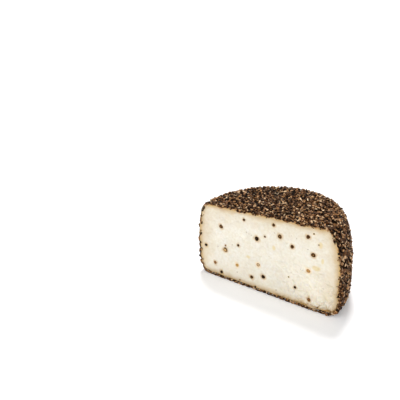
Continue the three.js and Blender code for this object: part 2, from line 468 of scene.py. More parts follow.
class Nodes:
    """Short ways to add and link a material's nodes."""

    def __init__(self, name):
        self.material = bpy.data.materials.new(name)
        self.material.use_nodes = True
        self.tree = self.material.node_tree
        self.shader = self.tree.nodes["Principled BSDF"]

    def add(self, kind, **settings):
        node = self.tree.nodes.new(kind)
        for name, value in settings.items():
            setattr(node, name, value)
        return node

    def link(self, source, target):
        self.tree.links.new(source, target)

    def value(self, name):
        """The number that the mesh holds under this name."""
        return self.add("ShaderNodeAttribute", attribute_name=name).outputs["Fac"]

    def noise(self, size, detail=3.0, roughness=0.5):
        """Noise with lumps of about the given size in millimetres."""
        place = self.add("ShaderNodeTexCoord")
        texture = self.add("ShaderNodeTexNoise")
        texture.inputs["Scale"].default_value = 1.0 / (size * MM)
        texture.inputs["Detail"].default_value = detail
        texture.inputs["Roughness"].default_value = roughness
        self.link(place.outputs["Object"], texture.inputs["Vector"])
        return texture.outputs["Fac"]

    def ramp(self, source, stops):
        """Colours along a number."""
        node = self.add("ShaderNodeValToRGB")
        elements = node.color_ramp.elements
        while len(elements) < len(stops):
            elements.new(0.5)
        for element, (place, colour) in zip(elements, stops):
            element.position = place
            element.color = colour
        self.link(source, node.inputs["Fac"])
        return node.outputs["Color"]

    def mix(self, amount, first, second, blend="MIX"):
        """Two colours mixed by a number or by a constant share."""
        node = self.add("ShaderNodeMix", data_type="RGBA", blend_type=blend)
        for socket, source in ((node.inputs[0], amount), (node.inputs[6], first), (node.inputs[7], second)):
            if hasattr(source, "is_linked"):
                self.link(source, socket)
            else:
                socket.default_value = source
        return node.outputs[2]

    def bump(self, source, height, strength=1.0):
        """Bumps of the given height in millimetres."""
        node = self.add("ShaderNodeBump")
        node.inputs["Strength"].default_value = strength
        node.inputs["Distance"].default_value = height * MM
        self.link(source, node.inputs["Height"])
        self.link(node.outputs["Normal"], self.shader.inputs["Normal"])

    def finish(self, colour, **settings):
        """Sets the shader's colour and its even values, and gives back the material."""
        self.link(colour, self.shader.inputs["Base Color"])
        for name, value in settings.items():
            self.shader.inputs[name.replace("_", " ")].default_value = value
        return self.material


# What is mixed over the paste in turn, each by the number that the mesh holds under its name
PASTE_TINTS = [
    # The first tint is painted light and the third, along the face's edge, is partly painted shade; the
    # others are the paste's own colours
    ("painted_light", srgb(250, 243, 226)),
    ("blotch", srgb(222, 207, 163)),
    ("rim_and_shade", srgb(195, 167, 118)),
    ("rind", srgb(214, 180, 120)),
    ("stain", srgb(192, 152, 80)),
    ("speck", srgb(112, 78, 28)),
    ("halo", srgb(234, 204, 156)),
]


def paste_material():
    nodes = Nodes("cheese_paste")
    cloudy = nodes.ramp(nodes.noise(9.0), [(0.3, srgb(220, 214, 200)), (0.7, srgb(228, 224, 213))])
    fine = nodes.noise(1.6, 4.0, 0.6)
    crumbly = nodes.ramp(fine, [(0.3, srgb(216, 207, 187)), (0.62, srgb(233, 231, 223))])
    colour = nodes.mix(0.45, cloudy, crumbly)
    for value, tint in PASTE_TINTS:
        colour = nodes.mix(nodes.value(value), colour, tint)
    nodes.bump(nodes.noise(0.7, 4.0, 0.65), 0.12, 0.7)
    return nodes.finish(
        colour, Roughness=0.55, Subsurface_Weight=0.4, Subsurface_Radius=(1.0, 0.82, 0.55),
        Subsurface_Scale=0.5 * MM, Specular_IOR_Level=0.35,
    )


def crust_material():
    nodes = Nodes("pepper_crust")
    # The crust is near-black: its own dark colour, and also painted shade in the gaps between the grains
    dark = nodes.ramp(nodes.noise(1.1, 4.0, 0.6), [(0.35, srgb(14, 6, 1)), (0.65, srgb(34, 19, 7))])
    colour = nodes.mix(nodes.value("inner"), dark, srgb(226, 184, 126))
    nodes.bump(nodes.noise(0.5, 3.0, 0.6), 0.2, 0.8)
    return nodes.finish(colour, Roughness=0.8, Specular_IOR_Level=0.1)


HUSK_BLACK = [(0.0, srgb(40, 22, 6)), (0.6, srgb(76, 49, 26)), (1.0, srgb(128, 94, 68))]
HUSK_DARK = [(0.0, srgb(55, 33, 12)), (0.6, srgb(104, 70, 42)), (1.0, srgb(168, 130, 98))]
HUSK_BROWN = [(0.0, srgb(79, 47, 20)), (0.5, srgb(142, 100, 63)), (1.0, srgb(222, 178, 138))]
# Tones of the crumbs low in the gaps: dark pepper, kept near-black as painted shade in the gaps
GAP_SHADE_BLACK = [(0.0, srgb(22, 11, 3)), (0.6, srgb(44, 25, 10)), (1.0, srgb(78, 50, 28))]
HUSK_SHELL = [(0.0, srgb(36, 21, 10)), (0.6, srgb(70, 46, 28)), (1.0, srgb(112, 82, 58))]
SHELL_TONES = [(0.0, srgb(132, 93, 58)), (0.5, srgb(206, 164, 120)), (1.0, srgb(250, 226, 192))]
KERNEL_TONES = [(0.0, srgb(138, 98, 60)), (0.5, srgb(208, 166, 120)), (1.0, srgb(253, 230, 198))]
STRIP_TONES = [(0.0, srgb(74, 48, 28)), (0.4, srgb(178, 136, 94)), (1.0, srgb(255, 236, 206))]
DUST_TONES = [(0.0, srgb(28, 16, 8)), (0.6, srgb(88, 60, 36)), (1.0, srgb(208, 168, 122))]
PEPPER_SHEEN = (1.0, 0.72, 0.5, 1.0)
HUSK_MOTTLE = [(0.35, (0.58, 0.47, 0.34, 1.0)), (0.62, WHITE)]
CORN_MOTTLE = [(0.3, (0.7, 0.67, 0.64, 1.0)), (0.7, WHITE)]


def wrinkle(nodes, colour, mottle, height):
    """Mottles a colour with the stops of a ramp, and raises the wrinkles of dried pepper."""
    shade = nodes.ramp(nodes.noise(0.5, 3.0, 0.6), mottle)
    colour = nodes.mix(1.0, colour, shade, "MULTIPLY")
    nodes.bump(nodes.noise(0.3, 3.0, 0.6), height, 0.7)
    return colour


def pepper_material(name, outside, inside, roughness, sheen=0.24):
    """Pepper whose grains differ in tone, each mottled and wrinkled, and paler where it broke open."""
    nodes = Nodes(name)
    husk = nodes.ramp(nodes.value("tone"), outside)
    kernel = nodes.ramp(nodes.value("tone"), inside)
    colour = wrinkle(nodes, nodes.mix(nodes.value("inner"), husk, kernel), HUSK_MOTTLE, 0.12)
    return nodes.finish(colour, Roughness=roughness, Specular_IOR_Level=sheen, Specular_Tint=PEPPER_SHEEN)


def corn_material():
    """Peppercorns in the cut: each holds its own colour, from its core to its husk."""
    nodes = Nodes("peppercorns")
    colour = nodes.add("ShaderNodeAttribute", attribute_name="corn_colour").outputs["Color"]
    colour = wrinkle(nodes, colour, CORN_MOTTLE, 0.1)
    return nodes.finish(colour, Roughness=0.5, Specular_IOR_Level=0.25, Specular_Tint=PEPPER_SHEEN)


# ---- The paste and the crust ----

BODY_COLUMNS = 74
BODY_ROWS = 42
FACE_CUTS = 3
# Where the face broke instead of being cut: towards the lower right, from a place on, over a length
BROKEN_X = 2.0
BROKEN_FADE_X = 40.0
BROKEN_Z = 42.0
BROKEN_FADE_Z = 34.0
# Painted light: the paste is made paler where it broke, towards the lower right, and low down, to lighten the
# shade of its crumbs and of its lower part
PAINTED_LIGHT_SHARE = 0.46
PAINTED_LIGHT_LOW = 0.4
PAINTED_LIGHT_BELOW = 20.0
PAINTED_LIGHT_FADE = 16.0
# Two layers of crumbs: size, depth, seed
CRUMB_LAYERS = ((5.5, 0.65, 51), (2.8, 0.42, 52))
CRUMB_WARP = 0.3
CRUMB_SHOULDER = 0.3
CREASE_WIDTH = 0.16
CORN_CALM = 1.2
SOCKET_SLOPE = 0.3
GROOVE_DEPTH = 0.12
GROOVE_WIDTH = 0.35
STAIN_REACH = 1.6
STAIN_SHARE = 0.6
HALO_SHARE = 0.55
BLOTCH_SHARE = 0.72
SPECK_COUNT = 12
SPECK_SHARE = 0.7
STREAK_START = (-7.3, 39.4)
STREAK_SPECKS = 4
STREAK_LEFT = 1.8
STREAK_UP = 0.55
STREAK_JITTER = 0.3
PALE_KINDS = ("amber", "tan", "orange", "olive")
# Tints along the edge of the face: a tan edge that is partly painted shade, a wider painted shade, and the
# rind's own colour; how far in they reach, and how strong they are right, left, up and down
RIM_REACH = 4.0
RIM_START = 0.9
RIM_SIDES = (0.62, 0.45, 0.72, 0.75)
# A wider painted shade, darker towards the edge of the face
WIDE_SHADE_REACH = 15.0
WIDE_SHADE_SIDES = (0.4, 0.52, 0.3, 0.08)
RIND_START = 0.3
RIND_REACH = 1.0
RIND_SIDES = (0.6, 0.1, 0.45, 0.2)


def corn_distance(points, corn):
    """Distance across the face from a corn's edge, below 0 inside it."""
    x, z, width = corn[:3]
    return np.hypot(points[:, 0] - x, points[:, 2] - z) - width / 2


def paste_specks():
    """Tiny flakes of pepper in the face: scattered, and in a streak up and left from a black corn."""
    random = np.random.default_rng(SEED + 2)
    scattered = [
        (random.uniform(-44.0, 44.0), random.uniform(5.0, 48.0), random.uniform(0.16, 0.34))
        for _ in range(SPECK_COUNT)
    ]
    streak = [
        (
            STREAK_START[0] - STREAK_LEFT * step + random.uniform(-STREAK_JITTER, STREAK_JITTER),
            STREAK_START[1] + STREAK_UP * step + random.uniform(-STREAK_JITTER, STREAK_JITTER),
            random.uniform(0.18, 0.36),
        )
        for step in range(STREAK_SPECKS)
    ]
    return scattered + streak


def crumb_cells(x, z, is_face, size, seed):
    """Crumbs of about a size: how far each stands out, and how near a point is to a crease between them."""
    random = np.random.default_rng(seed)
    columns, rows = int(2.4 * WHEEL_RADIUS / size), int(1.3 * WHEEL_HEIGHT / size)
    places = random.uniform(0.0, 1.0, (columns, rows, 2)) + np.stack(np.indices((columns, rows)), axis=-1)
    places = places.reshape(-1, 2) * size - [1.2 * WHEEL_RADIUS, 0.1 * WHEEL_HEIGHT]
    levels = random.uniform(-1.0, 1.0, len(places))
    tree = flat_tree(places)
    flat = np.stack([x, np.zeros(len(x)), z], axis=1)
    sway = np.stack([noise(flat, size, seed + 1), 0.0 * x, noise(flat, size, seed + 2)], axis=1)
    warped = flat + CRUMB_WARP * size * sway
    level, crease = np.zeros(len(x)), np.zeros(len(x))
    for i in np.nonzero(is_face)[0]:
        (_, nearest, first), (_, _, second) = tree.find_n(warped[i], 2)
        inside = (second - first) / size
        crease[i] = math.exp(-((inside / CREASE_WIDTH) ** 2))
        level[i] = levels[nearest] * min(1.0, inside / CRUMB_SHOULDER)
    return level, crease


def face_relief(points, is_face, broken):
    """How far each point of the face lies behind the plane of the cut."""
    x, z = points[:, 0], points[:, 2]
    relief = cut_relief(x, z) + 0.08 * noise(points, 3.4, 1) + 0.05 * noise(points, 1.5, 2)
    # Round a corn the crumbs lie flat, so that none of them hides it
    calm = np.ones(len(points))
    for corn in CORNS:
        calm = np.minimum(calm, smooth_step(corn_distance(points, corn) / CORN_CALM))
    for size, depth, seed in CRUMB_LAYERS:
        level, crease = crumb_cells(x, z, is_face, size, seed)
        relief += calm * depth * (0.2 + 1.05 * broken) * (crease - 1.1 * level)
    relief += (0.3 + 0.7 * broken) * 0.1 * noise(points, 0.9, 3)
    for corn in CORNS:
        width, crown = corn[2:4]
        beyond = corn_distance(points, corn)
        if crown < 0.0:
            relief += -crown * smooth_step(-beyond / (SOCKET_SLOPE * width))
        else:
            relief += GROOVE_DEPTH * np.exp(-((beyond / GROOVE_WIDTH) ** 2))
    return relief


def by_side(out, sides):
    """The strongest of four shares, for an edge that looks right, left, up or down."""
    right, left, top, bottom = sides
    return max(right * out[0], left * -out[0], top * out[1], bottom * -out[1])


def edge_tints(points, is_face):
    """The tan tint along the face's edge, partly painted shade, which fades inward, a wider painted shade,
    and the rind at its very edge, in patches.
    """
    loop, loop_out, _ = cut_loop(paste_face(LOOP_GRID, LOOP_GRID))
    tree = flat_tree(loop)
    edge, wide_shade_share = np.zeros(len(points)), np.zeros(len(points))
    rind_share, rim_share = np.ones(len(points)), np.ones(len(points))
    for i in np.nonzero(is_face)[0]:
        _, nearest, edge[i] = tree.find((points[i, 0], 0.0, points[i, 2]))
        out = loop_out[nearest]
        rind_share[i] = by_side(out, RIND_SIDES)
        rim_share[i] = by_side(out, RIM_SIDES)
        wide_shade_share[i] = by_side(out, WIDE_SHADE_SIDES)
        edge[i] -= RIM_START * max(0.0, out[1])
    uneven = 1.0 + 0.3 * noise(points, 4.0, 5)
    near = np.clip(1.0 - edge / (RIM_REACH * uneven), 0.0, 1.0) ** 1.15
    wide_shade = np.clip(1.0 - edge / (WIDE_SHADE_REACH * uneven), 0.0, 1.0) ** 1.3
    rim_and_shade = np.maximum(rim_share * near, 0.0) + wide_shade_share * wide_shade
    rind_end = smooth_step(1.0 - (edge - RIND_START) / (RIND_REACH * uneven))
    return rim_and_shade, rind_share * patches(points, 0.5) * rind_end


def corn_marks(points):
    """The stain round most corns and the halo round the pale ones."""
    wavy = 1.0 + 0.5 * noise(points, 1.6, 8)
    stain, halo = np.zeros(len(points)), np.zeros(len(points))
    for corn in CORNS:
        width, _, kind = corn[2:]
        reach = STAIN_REACH * (0.5 + width / 4.8)
        near = smooth_step(1.0 - corn_distance(points, corn) / (reach * wavy)) * min(1.0, width / 2.2)
        if kind in PALE_KINDS:
            halo = np.maximum(halo, near)
        else:
            stain = np.maximum(stain, near)
    return stain, halo


def spots(x, z):
    """The specks of pepper and the patches of fat in the face."""
    speck, blotch = np.zeros(len(x)), np.zeros(len(x))
    for middle_x, middle_z, size in paste_specks():
        near = smooth_step(1.6 - np.hypot(x - middle_x, z - middle_z) / size)
        speck = np.maximum(speck, SPECK_SHARE * near)
    for middle_x, middle_z, half_width, half_height in BLOTCHES:
        inside = 1.3 - np.hypot((x - middle_x) / half_width, (z - middle_z) / half_height)
        blotch = np.maximum(blotch, smooth_step(inside / 0.6))
    return speck, blotch


def make_paste():
    grids = [skin_grid(BODY_COLUMNS, BODY_ROWS, 0.0, PASTE_SINK), paste_face(BODY_COLUMNS, BODY_ROWS)]
    mesh = make_mesh("cheese_paste", *join_grids(grids))
    flat = CUT_Y * MM

    def on_face(face):
        return all(abs(corner.co.y - flat) < 1e-7 for corner in face.verts)

    weld(mesh, (on_face, FACE_CUTS))
    points = from_frame(mesh)
    is_face = np.abs(points[:, 1]) < 1e-3
    x, z = points[:, 0], points[:, 2]
    broken = smooth_step((x - BROKEN_X) / BROKEN_FADE_X) * smooth_step((BROKEN_Z - z) / BROKEN_FADE_Z)
    low = smooth_step((PAINTED_LIGHT_BELOW - z) / PAINTED_LIGHT_FADE)
    rim_and_shade, rind = edge_tints(points, is_face)
    stain, halo = corn_marks(points)
    speck, blotch = spots(x, z)
    # Painted light: paler paste where the crumbs and the lower face lie in shade
    add_value(mesh, "painted_light", PAINTED_LIGHT_SHARE * np.maximum(broken, PAINTED_LIGHT_LOW * low) * is_face)
    add_value(mesh, "stain", STAIN_SHARE * stain * is_face)
    add_value(mesh, "speck", speck * is_face)
    add_value(mesh, "halo", HALO_SHARE * halo * is_face)
    add_value(mesh, "blotch", BLOTCH_SHARE * blotch * is_face)
    # The tint along the face's edge is partly painted shade
    add_value(mesh, "rim_and_shade", np.where(is_face, rim_and_shade, 0.9))
    add_value(mesh, "rind", np.where(is_face, rind, 1.0))
    points[:, 1] += np.where(is_face, face_relief(points, is_face, broken), 0.0)
    set_points(mesh, points)
    add_piece(mesh, paste_material())


CRUST_COLUMNS = 130
CRUST_ROWS = 56
CRUST_HEART = (0.0, 25.0, 28.0)
CRUST_LOWEST = 0.05
CRUST_EDGE = 0.06
# The crust's edge is pale, least of all at the left
PALE_WITHIN = 0.5
PALE_FADE = 0.3
PALE_LEFT = 0.15
PALE_GAIN = 0.75
PALE_FROM = 0.7
PALE_GAIN_LENGTH = 12.0


def make_crust():
    outer = skin_grid(CRUST_COLUMNS, CRUST_ROWS, CRUST_THICKNESS, CRUST_SINK)
    inner = skin_grid(CRUST_COLUMNS, CRUST_ROWS, 0.0, CRUST_SINK)
    lumps = CRUST_ROUGHNESS * noise(outer.reshape(-1, 3), 1.5, 6).reshape(outer.shape[:2])
    away = outer - np.array(CRUST_HEART)
    outer = outer + away / np.linalg.norm(away, axis=2)[:, :, None] * lumps[:, :, None]
    outer[:, :, 2] = np.maximum(outer[:, :, 2], CRUST_LOWEST)
    for grid in (outer, inner):
        for edge in grid_edges(grid):
            edge[:, 1] = cut_relief(edge[:, 0], edge[:, 2]) + CRUST_EDGE
    rims = [np.stack(pair, axis=1) for pair in zip(grid_edges(outer), grid_edges(inner))]
    mesh = make_mesh("pepper_crust", *join_grids([outer, inner, *rims]))
    weld(mesh)
    points = from_frame(mesh)
    from_left = smooth_step((points[:, 0] + PALE_FROM * WHEEL_RADIUS) / PALE_GAIN_LENGTH)
    behind = points[:, 1] - cut_relief(points[:, 0], points[:, 2])
    pale = smooth_step((PALE_WITHIN - behind) / PALE_FADE) * (PALE_LEFT + PALE_GAIN * from_left)
    add_value(mesh, "inner", pale * patches(points, 0.6))
    add_piece(mesh, crust_material())


# ---- Shapes of one grain, about one unit across ----


def ball(segments, rings):
    """Points and triangles of a round body."""
    points = [(0.0, 0.0, 1.0)]
    for ring in range(1, rings):
        polar = math.pi * ring / rings
        for segment in range(segments):
            turn = 2.0 * math.pi * (segment + 0.5 * (ring % 2)) / segments
            across = math.sin(polar)
            points.append((across * math.cos(turn), across * math.sin(turn), math.cos(polar)))
    points.append((0.0, 0.0, -1.0))
    faces = []
    last = len(points) - 1
    for segment in range(segments):
        following = (segment + 1) % segments
        faces.append((0, 1 + segment, 1 + following))
        base = last - segments
        faces.append((last, base + following, base + segment))
    for ring in range(rings - 2):
        upper, lower = 1 + ring * segments, 1 + (ring + 1) * segments
        for segment in range(segments):
            following = (segment + 1) % segments
            faces.append((upper + segment, lower + segment, lower + following))
            faces.append((upper + segment, lower + following, upper + following))
    return np.array(points) * 0.5, np.array(faces)


def flatten(random, points, breaks, pale_breaks, reach):
    """Flat breaks across a shape, of which the first few show the pale inside."""
    inner = np.zeros(len(points))
    for number in range(breaks):
        direction = random.normal(size=3)
        direction /= np.linalg.norm(direction)
        past = np.maximum(0.0, points @ direction - random.uniform(*reach))
        points = points - past[:, None] * direction
        if number < pale_breaks:
            inner = np.where(past > 0.0, 1.0, inner)
    return points, inner


def chunk(random, segments=6, rings=4, breaks=4, pale_breaks=1, reach=(0.16, 0.36)):
    """A cracked crumb of peppercorn."""
    points, faces = ball(segments, rings)
    points = points * random.uniform(0.9, 1.1, (len(points), 1))
    points, inner = flatten(random, points, breaks, pale_breaks, reach)
    return points, faces, inner


def nugget(random, pale_breaks=1, segments=8, rings=6, breaks=3, reach=(0.16, 0.36)):
    """A cracked peppercorn: round outside, with the creases of its dried husk, and flat where it broke."""
    points, faces = ball(segments, rings)
    creases = np.abs(noise(points + random.uniform(0.0, 9.0, 3), 0.28, 31))
    points = points * (0.9 + 0.34 * np.minimum(creases, 0.5))[:, None]
    points = points * random.uniform(0.98, 1.02, (len(points), 1))
    points, inner = flatten(random, points, breaks, pale_breaks, reach)
    return points, faces, inner


def curved_shell(random, across=4, along=4):
    """A piece of broken husk: part of a thin hollow ball, with its inner side marked."""
    width = random.uniform(1.3, 2.3)
    length = random.uniform(1.2, 2.6)
    thickness = random.uniform(0.14, 0.22)
    u = np.linspace(-width / 2, width / 2, across + 1)[:, None]
    v = np.linspace(-length / 2, length / 2, along + 1)[None, :]
    u = u * (1.0 + 0.12 * np.sin(3.0 * v + random.uniform(0.0, 6.0)))
    v = v * (1.0 + 0.12 * np.sin(3.0 * u + random.uniform(0.0, 6.0)))
    direction = np.stack([np.sin(u) * np.cos(v), np.sin(v) + 0.0 * u, np.cos(u) * np.cos(v)], axis=-1)
    radius = 0.5 * (1.0 + random.uniform(-0.05, 0.05, direction.shape[:2]))[:, :, None]
    outer = direction * radius
    inner = direction * (radius - thickness)
    count = (across + 1) * (along + 1)
    points = np.concatenate([outer.reshape(-1, 3), inner.reshape(-1, 3)])
    points[:, 2] -= 0.3
    quads = grid_faces(across, along)
    faces = [tuple(q[::-1]) for q in quads] + [tuple(q + count) for q in quads]
    index = np.arange(count).reshape(across + 1, along + 1)
    loop = [*index[:-1, 0], *index[-1, :-1], *index[:0:-1, -1], *index[0, :0:-1]]
    for first, second in zip(loop, loop[1:] + loop[:1]):
        faces.append((first, second, second + count, first + count))
    triangles = [t for a, b, c, d in faces for t in ((a, b, c), (a, c, d))]
    return points, np.array(triangles), np.repeat([0.0, 1.0], count)


def sliver(random):
    """A thin bent strip of husk."""
    sides, steps = 4, 3
    points, faces = [], []
    bend = random.uniform(-0.6, 0.6)
    for step in range(steps + 1):
        along = step / steps - 0.5
        taper = 1.0 - 1.2 * along * along * random.uniform(0.6, 1.4)
        for side in range(sides):
            turn = 2.0 * math.pi * (side + 0.5) / sides
            across = 0.16 * taper * math.cos(turn) + bend * along * along
            points.append((along, across, 0.09 * taper * math.sin(turn)))
    for step in range(steps):
        for side in range(sides):
            following = (side + 1) % sides
            a, b = step * sides + side, step * sides + following
            faces += [(a, b, b + sides), (a, b + sides, a + sides)]
    end = steps * sides
    faces += [(0, 2, 1), (0, 3, 2), (end, end + 1, end + 2), (end, end + 2, end + 3)]
    return np.array(points), np.array(faces), np.zeros(len(points))


# ---- Scattering ----

GOLDEN = math.pi * (3.0 - math.sqrt(5.0))
SHARP_BREAK = math.radians(38.0)
PALE_CUT = 0.2
LOOP_GRID = 160
LOOP_STEPS = 1200


def in_bare_corner(x, z):
    """Whether a place lies at the upper left corner of the cut, which has few grains."""
    return (x < CORNER_BARE_X - WHEEL_RADIUS) & (z > CORNER_FROM)


def nearest_to_cut(points, random):
    """How near to the cut the middle of a grain may lie at each point: past it along the top edge."""
    on_top = points[:, 2] > WHEEL_HEIGHT - MARGIN_TOP_BAND
    jitter = random.uniform(0.0, MARGIN_JITTER, len(points))
    margin = np.where(on_top, MARGIN_TOP, MARGIN_SIDE)
    return np.where(in_bare_corner(points[:, 0], points[:, 2]), MARGIN_CORNER, margin) + jitter


def spread(spacing, depth, depth_spread, random):
    """Even random places on the kept skin, with their normals."""
    count = int(SKIN_AREA / (0.866 * spacing**2))
    index = np.arange(count) + random.uniform(0.0, 1.0)
    share = np.clip((index + random.uniform(-0.5, 0.5, count)) / count, 0.0, 1.0)
    angle = index * GOLDEN + random.uniform(0.0, 2.0 * math.pi)
    radius = outline_place(share, 0.0)[0]
    angle = angle + random.uniform(-0.45, 0.45, count) * spacing / np.maximum(radius, 2.0)
    depths = depth + random.uniform(-depth_spread, depth_spread, count)
    points, normals = skin(angle, share, depths)
    kept = points[:, 1] > nearest_to_cut(points, random)
    return points[kept], normals[kept]


def turned_axes(normals, tilt, random):
    """Three axes to each normal, turned at random about it and tilted by up to an angle."""
    count = len(normals)
    normals = normals + tilt * random.uniform(-1.0, 1.0, (count, 3))
    normals /= np.linalg.norm(normals, axis=1)[:, None]
    other = random.normal(size=(count, 3))
    first = np.cross(normals, other)
    first /= np.linalg.norm(first, axis=1)[:, None]
    second = np.cross(normals, first)
    return np.stack([first, second, normals], axis=2)


def scatter(name, shapes, places, normals, sizes, tilt, material, slot, random):
    """Joins many turned and scaled copies of a few shapes into one piece, flat where the knife met them."""
    kinds = random.integers(0, len(shapes), len(places))
    axes = turned_axes(normals, tilt, random)
    tones = random.uniform(0.0, 1.0, len(places))
    is_pale = random.uniform(0.0, 1.0, len(places)) < PALE_CUT
    is_proud = random.uniform(0.0, 1.0, len(places)) < PROUD_SHARE
    slacks = random.uniform(0.0, KNIFE_SLACK, len(places)) + np.where(is_proud, KNIFE_PROUD, KNIFE_FLUSH)
    points, faces, inner, owner, start = [], [], [], [], 0
    for kind, (shape, triangles, inside) in enumerate(shapes):
        chosen = np.nonzero(kinds == kind)[0]
        scaled = shape[None] * sizes[chosen][:, None, :]
        turned = np.einsum("nij,nkj->nki", axes[chosen], scaled) + places[chosen][:, None, :]
        points.append(turned.reshape(-1, 3))
        offsets = start + np.arange(len(chosen)) * len(shape)
        faces.append((triangles[None] + offsets[:, None, None]).reshape(-1, 3))
        inner.append(np.tile(inside, len(chosen)))
        owner.append(np.repeat(chosen, len(shape)))
        start += len(chosen) * len(shape)
    points, inner, owner = (np.concatenate(part) for part in (points, inner, owner))
    points[:, 2] = np.maximum(points[:, 2], 0.0)
    knife = cut_relief(points[:, 0], points[:, 2]) + slacks[owner]
    below_top = points[:, 2] - WHEEL_HEIGHT * end_rise(points[:, 0])
    at_top = smooth_step((below_top + KNIFE_TOP_BAND) / KNIFE_TOP_FADE)
    at_bottom = smooth_step(KNIFE_BOTTOM_BAND - points[:, 2])
    knife = knife + (KNIFE_AT_TOP - knife) * at_top
    knife = knife + (KNIFE_AT_BOTTOM - knife) * at_bottom
    is_cut = points[:, 1] < knife
    points[:, 1] = np.maximum(points[:, 1], knife)
    inner = np.where(is_cut & is_pale[owner], 1.0, inner)
    mesh = make_mesh(name, points, np.concatenate(faces))
    add_value(mesh, "tone", tones[owner])
    add_value(mesh, "inner", inner)
    add_piece(mesh, material)
    mesh.set_sharp_from_angle(angle=SHARP_BREAK)


def cut_loop(face):
    """The outline of a grid over the cut, from the bottom right up and round, with even spacing."""
    grid = face[:, :, [0, 2]]
    loop = np.concatenate([grid[0], grid[1:, -1], grid[-1, -2::-1], grid[-2:0:-1, 0]])
    loop = np.concatenate([loop, loop[:1]])
    run = np.concatenate([[0.0], np.cumsum(np.linalg.norm(np.diff(loop, axis=0), axis=1))])
    even = np.linspace(0.0, run[-1], LOOP_STEPS, endpoint=False)
    points = np.stack([np.interp(even, run, loop[:, axis]) for axis in (0, 1)], axis=1)
    along = np.roll(points, -1, axis=0) - np.roll(points, 1, axis=0)
    along /= np.linalg.norm(along, axis=1)[:, None]
    return points, np.stack([along[:, 1], -along[:, 0]], axis=1), run[-1]


SKIN_DEPTHS = np.zeros(LOOP_GRID + 1)
LOOP, LOOP_OUT, LOOP_LENGTH = cut_loop(face_grid(LOOP_GRID, LOOP_GRID, SKIN_DEPTHS, SKIN_DEPTHS))


def facing(amount):
    """From 0 to 1 as an edge turns towards a side."""
    return smooth_step((amount - 0.3) / 0.5)


def edge_row(pitch, near, far, forward, random):
    """Places in a ragged row along the edge of the cut, from a near to a far depth under the skin."""
    count = int(LOOP_LENGTH / pitch)
    at = (np.arange(count) + random.uniform(-0.35, 0.35, count)) / count * len(LOOP)
    index = at.astype(int) % len(LOOP)
    corner, out = LOOP[index], LOOP_OUT[index]
    flat = np.stack([corner[:, 0], np.zeros(count), corner[:, 1]], axis=1)
    is_top, is_bottom, is_side = facing(out[:, 1]), facing(-out[:, 1]), facing(np.abs(out[:, 0]))
    from_corner = smooth_step((corner[:, 0] + WHEEL_RADIUS - TOP_BARE) / TOP_BARE_FADE)
    ragged = is_top * from_corner * (TOP_OVERHANG + TOP_RAGGED * noise(flat, 3.6, 21))
    side_depth = SIDE_OVERHANG + LEFT_OVERHANG * (out[:, 0] < 0.0) + SIDE_RAGGED * noise(flat, 2.3, 22)
    ragged += is_side * side_depth
    depth = np.maximum(random.uniform(near, far, count) + ragged, near)
    places = flat - np.stack([out[:, 0] * depth, np.zeros(count), out[:, 1] * depth], axis=1)
    places[:, 1] = random.uniform(*forward, count) + cut_relief(places[:, 0], places[:, 2])
    places[:, 1] -= TOP_FORWARD * is_top + BOTTOM_FORWARD * is_bottom
    normals = np.stack([out[:, 0], np.full(count, -0.5), out[:, 1]], axis=1)
    normals /= np.linalg.norm(normals, axis=1)[:, None]
    is_bare = in_bare_corner(corner[:, 0], corner[:, 1])
    kept = ~is_bare | (random.uniform(0.0, 1.0, count) < CORNER_GRAINS)
    return places[kept], normals[kept]


# Size of the grains along the edge of the cut, which the knife broke smaller and rounder
EDGE_SIZE = (0.7, 0.7, 1.0)
EDGE_SHRINK = (0.7, 1.35)


def grain_sizes(count, size, random, uneven=0.22):
    """Length, width and thickness of each grain."""
    factor = random.uniform(1.0 - uneven, 1.0 + uneven, (count, 1))
    each = random.uniform(0.88, 1.12, (count, 3))
    return factor * each * np.array(size)


def both(first, second):
    return [np.concatenate(pair) for pair in zip(first, second)]


def split(grains, shares, random):
    """Deals the places out at random, in the given shares."""
    dealt = np.searchsorted(np.cumsum(shares), random.uniform(0.0, 1.0, len(grains[0])))
    return [[part[dealt == kind] for part in grains] for kind in range(len(shares))]


def scatter_husks(name, inland, edge, shapes, size, tilt, tones, random, is_flipped=False):
    """A kind of husk, from its places over the coat and along the edge of the cut."""
    places, normals = both(inland, edge)
    if is_flipped:
        flips = random.uniform(0.0, 1.0, len(places)) < 0.5
        normals = np.where(flips[:, None], -normals, normals)
    at_edge = len(edge[0])
    factor = np.ones((len(places), 3))
    factor[len(places) - at_edge:] = random.uniform(*EDGE_SHRINK, (at_edge, 1)) * EDGE_SIZE
    sizes = factor * grain_sizes(len(places), size, random)
    scatter(name, shapes, places, normals, sizes, tilt, pepper_material(name, *tones), "pepper_husk", random)


def scatter_loose(name, grains, shapes, size, uneven, tilt, tones, slot, random):
    """A kind of grain with places of its own."""
    sizes = grain_sizes(len(grains[0]), size, random, uneven)
    scatter(name, shapes, *grains, sizes, tilt, pepper_material(name, *tones), slot, random)


